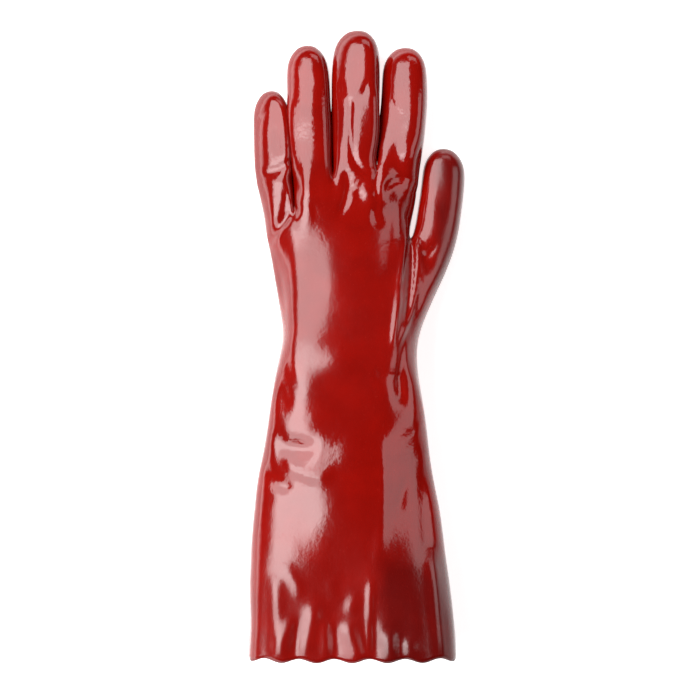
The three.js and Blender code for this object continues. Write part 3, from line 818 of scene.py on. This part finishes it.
# Short flutes above the hem, where the cuff ripples as it hangs free.
FLUTES = table("x y to_x to_y bow half depth", [
    (303, 657, 315, 608, 0, 7.5, -1.5),
    (279, 657, 291, 620, 0, 7.0, -1.4),
    (326, 655, 325, 622, 0, 4.5, -0.9),
    (296, 657, 296, 622, 0, 3.5, 0.7),
    (360, 659, 347, 626, 0, 7.5, -1.4),
    (349, 612, 356, 596, 0, 6.0, -0.9),
    (337, 657, 336, 628, 0, 4.0, 0.6),
    (391, 657, 391, 634, 0, 6.5, -1.2),
    (376, 657, 373, 620, 0, 5.5, 0.7),
    (411, 656, 409, 640, 0, 7.0, -1.3),
    (401, 656, 400, 636, 0, 3.5, 0.6),
    (300, 594, 282, 566, 3, 5.0, -0.7),
    (334, 601, 330, 580, 0, 7.0, -0.5),
])


def crease_depth(rows, where):
    """Depth of all creases of a table together, at each pixel position."""
    total = np.zeros(len(where))
    for x, y, to_x, to_y, bow, half, depth in zip(*rows.values()):
        run = np.array([to_x - x, to_y - y])
        length = np.linalg.norm(run)
        along = (where - (x, y)) @ run / length**2
        across = (where - (x, y)) @ np.array([-run[1], run[0]]) / length
        inside = np.clip(along, 0, 1)
        beyond = (along - inside) * length
        across = across - bow * 4 * inside * (1 - inside)
        away = np.hypot(across, beyond) / half
        ends = ease(along, -CREASE_END, CREASE_END) * ease(along, 1 + CREASE_END, 1 - CREASE_END)
        total += depth * np.exp(-away * away) * ends
    return total


def swelling_height(where):
    """Height of all swellings together, at each pixel position."""
    total = np.zeros(len(where))
    for x, y, wide, long, turn, height in zip(*SWELLINGS.values()):
        c, s = math.cos(math.radians(turn)), math.sin(math.radians(turn))
        from_middle = where - (x, y)
        across = (from_middle @ np.array([c, s])) / wide
        along = (from_middle @ np.array([-s, c])) / long
        total += height * np.exp(-(across**2 + along**2))
    return total


UPWARD = (0.02, 0.45)  # how far up the wall looks where the folds begin, and where they are full
TABLE_HEIGHT = 6  # the lowest millimetres rest on the table and stay smooth
UNEVEN = ((0.16, 46, 3), (0.05, 19, 5))  # height, wavelength and seed
WAVES_IN_RIPPLE = 9
FULLER_HAND, FULLER_FINGERS = 0.12, 0.3  # the subdivision draws the form in by about so much


def ripple(at, wavelength, seed):
    """Gentle unevenness without a direction, between about -1 and 1."""
    rng = np.random.default_rng(seed)
    total = np.zeros(len(at))
    for _ in range(WAVES_IN_RIPPLE):
        way = rng.normal(size=3)
        way /= np.linalg.norm(way)
        total += np.sin(at @ way * 2 * math.pi / (wavelength * rng.uniform(0.7, 1.4))
                        + rng.uniform(0, 2 * math.pi))
    return total / 4


def folded(at, quads):
    """The form with its folds on the upper side, and a slight unevenness all over."""
    normal = normals_of(at, quads)
    where = pixels(at)
    upward = ease(normal[:, 2], *UPWARD)
    push = upward * (swelling_height(where) - crease_depth(CREASES, where)
                     - crease_depth(FLUTES, where))
    free = ease(at[:, 2], 0, TABLE_HEIGHT)
    push += free * sum(height * ripple(at, wavelength, seed)
                       for height, wavelength, seed in UNEVEN)
    thumb = ease(at[:, 0], 50, 60) * ease(at[:, 1], hand(0.2), hand(0.5))
    fingers = np.maximum(ease(at[:, 1], hand(0.9), hand(1.1)), thumb)
    push += mix(FULLER_HAND, FULLER_FINGERS, fingers)
    at = at + normal * push[:, None]
    at[:, 2] = np.maximum(at[:, 2], 0)
    return at


# The wall and its lining: a seamless glove of off-white cotton interlock knit, which the PVC has
# soaked into. Inside, only the knit shows. At the cut hem the wall is red outside, white inside.

COATING = 0.9  # the red share of the wall's thickness, outside; the rest is knit
KNIT_LIGHT = (0.93, 0.91, 0.88)
KNIT_DARK = (0.7, 0.67, 0.63)
WALES = 118  # columns of stitches round the sleeve
COURSES = 620  # rows of stitches in a metre
LINING_MIDDLE = 0.036  # metres above the table, where the wales fan out from
WALE_LEAN = 2.2
LOOP_DEPTH, FUZZ_DEPTH = 0.0004, 0.0003  # metres
WALL_EASING = 3  # rounds of averaging, so that the inside doesn't fold over in the creases


def boundary_loop(quads):
    """The hem's points in order."""
    edges = {(a, b): True for quad in quads for a, b in zip(quad, np.roll(quad, -1))}
    follow = {b: a for a, b in edges if (b, a) not in edges}
    start = next(iter(follow))
    loop = [start]
    while follow[loop[-1]] != start:
        loop.append(follow[loop[-1]])
    return loop


def smooth_field(values, quads, rounds):
    """Averages a value per point with its neighbours'."""
    count = np.zeros(len(values))
    for i in range(4):
        np.add.at(count, quads[:, i], 2)
    for _ in range(rounds):
        total = np.zeros_like(values)
        for i in range(4):
            np.add.at(total, quads[:, i], values[quads[:, i - 1]] + values[quads[:, (i + 1) % 4]])
        values = (values + total / count[:, None]) / 2
    return values


def lining_finish():
    knit = Finish("knit_lining", Roughness=0.95, Specular_IOR_Level=0.15)
    across, along, up = knit.parts(knit.place)
    angle = (up - LINING_MIDDLE).angle(across)
    wale = (angle * WALES).sine() * 0.5 + 0.5
    course = (along * (COURSES * 2 * math.pi) + wale * WALE_LEAN).sine() * 0.5 + 0.5
    stitch = wale * 0.6 + course * 0.4
    fuzz = knit.noise(900, 3.0, 0.7)
    knit.give("Base Color", knit.colours(stitch * 0.6 + fuzz * 0.4, KNIT_DARK, KNIT_LIGHT))
    loops = knit.relief(stitch, LOOP_DEPTH, 0.8)
    knit.give("Normal", knit.relief(fuzz, FUZZ_DEPTH, 0.7, over=loops))
    return knit.material


SUBDIVISIONS = 2
outside, quads = smooth_surface(SUBDIVISIONS)
outside = folded(outside, quads)
loop = np.array(boundary_loop(quads))

inward = -smooth_field(normals_of(outside, quads), quads, WALL_EASING)
inward[loop, 1] = 0
inward /= np.linalg.norm(inward, axis=1, keepdims=True)
inside = outside + inward * WALL
seam = outside[loop] + inward[loop] * COATING

count = len(outside)
vertices = np.vstack([outside, inside, seam])
seam_index = 2 * count + np.arange(len(loop))
following = np.roll(np.arange(len(loop)), -1)
rim_red = np.stack([loop, loop[following], seam_index[following], seam_index], 1)
rim_knit = np.stack([seam_index, seam_index[following], loop[following] + count, loop + count], 1)
polygons = np.vstack([quads, rim_red, rim_knit, quads[:, ::-1] + count])
past_quads = np.arange(len(polygons)) - len(quads)
is_knit = past_quads >= len(rim_red)
is_rim = (past_quads >= 0) & (past_quads < len(rim_red) + len(rim_knit))

middle = (vertices.min(axis=0) + vertices.max(axis=0)) / 2
middle[2] = 0
glove_mesh = mesh_from("work_glove", (vertices - middle) * MM,
                       [tuple(int(k) for k in p) for p in polygons])
glove_mesh.polygons.foreach_set("material_index", is_knit.astype(int))
glove_mesh.polygons.foreach_set("use_smooth", ~is_rim)
glove_mesh.materials.append(pvc_coating)
glove_mesh.materials.append(lining_finish())
glove = bpy.data.objects.new("work_glove", glove_mesh)
bpy.context.scene.collection.objects.link(glove)
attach(glove, "root")
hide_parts("coated_glove")

# The studio: a white table that glows a little, a long softbox on the left with a small one beside
# it, a weaker one on the right, one beyond the fingertips, and walls that are white low down and
# dark above. The camera hangs straight over the glove.

FLOOR = 8.0  # metres from the middle to each side
FLOOR_DROP = 0.0002  # below the glove, so that the two never share a plane
SOFT_WHITE = (1.0, 0.985, 0.985)

floor_mesh = mesh_from("floor", [(x * FLOOR, y * FLOOR, -FLOOR_DROP)
                                 for x, y in ((-1, -1), (1, -1), (1, 1), (-1, 1))], [(0, 1, 2, 3)])
floor = bpy.data.objects.new("floor", floor_mesh)
bpy.context.scene.collection.objects.link(floor)
paint = Finish("white_table", Roughness=0.8, Emission_Color=(1, 1, 1, 1), Emission_Strength=0.75)
paint.give("Base Color", paint.colours(paint.noise(3), (0.86, 0.86, 0.86), (0.9, 0.9, 0.9)))
floor_mesh.materials.append(paint.material)


def softbox(name, place, target, long, wide, watts):
    """A rectangular lamp at a place, turned to a target. Sizes and places are in metres."""
    light = bpy.data.lights.new(name, "AREA")
    light.shape = "RECTANGLE"
    light.size, light.size_y = long, wide
    light.energy, light.color = watts, SOFT_WHITE
    lamp = bpy.data.objects.new(name, light)
    lamp.location = place
    lamp.rotation_mode = "QUATERNION"
    lamp.rotation_quaternion = (Vector(target) - Vector(place)).to_track_quat("-Z", "Y")
    lamp.visible_camera = False
    bpy.context.scene.collection.objects.link(lamp)


softbox("softbox_left", (-0.85, 0.45, 1.3), (0, 0.45, 0), 2.4, 1.05, 46)
softbox("softbox_middle", (-0.8, 0.1, 1.22), (0, 0.1, 0), 0.6, 0.7, 4.8)
softbox("softbox_right", (1.05, 0.265, 1.1), (0, 0.265, 0), 0.97, 0.85, 5.2)
softbox("softbox_top", (0.1, 1.5, 0.95), (0, 0, 0), 0.9, 0.35, 2.5)

FILL = 0.12  # what the walls give to matt surfaces
SEEN = 1.1  # how bright the camera sees them
LOW_WALL, HIGH_WALL = 2.0, 0.04  # how bright gloss sees them
WALL_TOP, WALL_FOOT = 0.3, 0.1  # how far up the bright part ends, as the height of a unit ray
WALL_MIDDLE, WALL_FALL = 1.35, 0.85  # the left wall is brighter, and it falls off to the right

world = bpy.data.worlds.new("studio")
world.use_nodes = True
bpy.context.scene.world = world
walls = Recipe(world.node_tree)
to_side, _, up = walls.parts(walls.node("ShaderNodeTexCoord", result="Generated"))
rays = walls.node("ShaderNodeLightPath").socket.node
gloss_ray, camera_ray = (Amount(walls, rays.outputs[name])
                         for name in ("Is Glossy Ray", "Is Camera Ray"))
mirrored = up.between(WALL_TOP, WALL_FOOT, HIGH_WALL, LOW_WALL)
mirrored = mirrored * (WALL_MIDDLE - to_side * WALL_FALL)
strength = walls.node("ShaderNodeMix", None, {0: gloss_ray, 2: FILL, 3: mirrored})
strength = walls.node("ShaderNodeMix", None, {0: camera_ray, 2: strength, 3: SEEN})
walls.fill(world.node_tree.nodes["Background"].inputs["Color"], (1, 1, 1, 1))
walls.fill(world.node_tree.nodes["Background"].inputs["Strength"], strength)

SENSOR_WIDTH = 36

camera_data = bpy.data.cameras.new("camera")
camera_data.sensor_width = SENSOR_WIDTH
camera_data.lens = CAMERA_DISTANCE / MM_PER_PIXEL / FRAME_PIXELS * SENSOR_WIDTH
camera_data.clip_start, camera_data.clip_end = 0.05, 30
camera = bpy.data.objects.new("camera", camera_data)
camera.location = ((CAMERA_X - middle[0]) * MM, (CAMERA_Y - middle[1]) * MM,
                   (CAMERA_DISTANCE + MIDDLE_HEIGHT) * MM)
bpy.context.scene.collection.objects.link(camera)
bpy.context.scene.camera = camera
bpy.context.scene.view_settings.view_transform = "Standard"
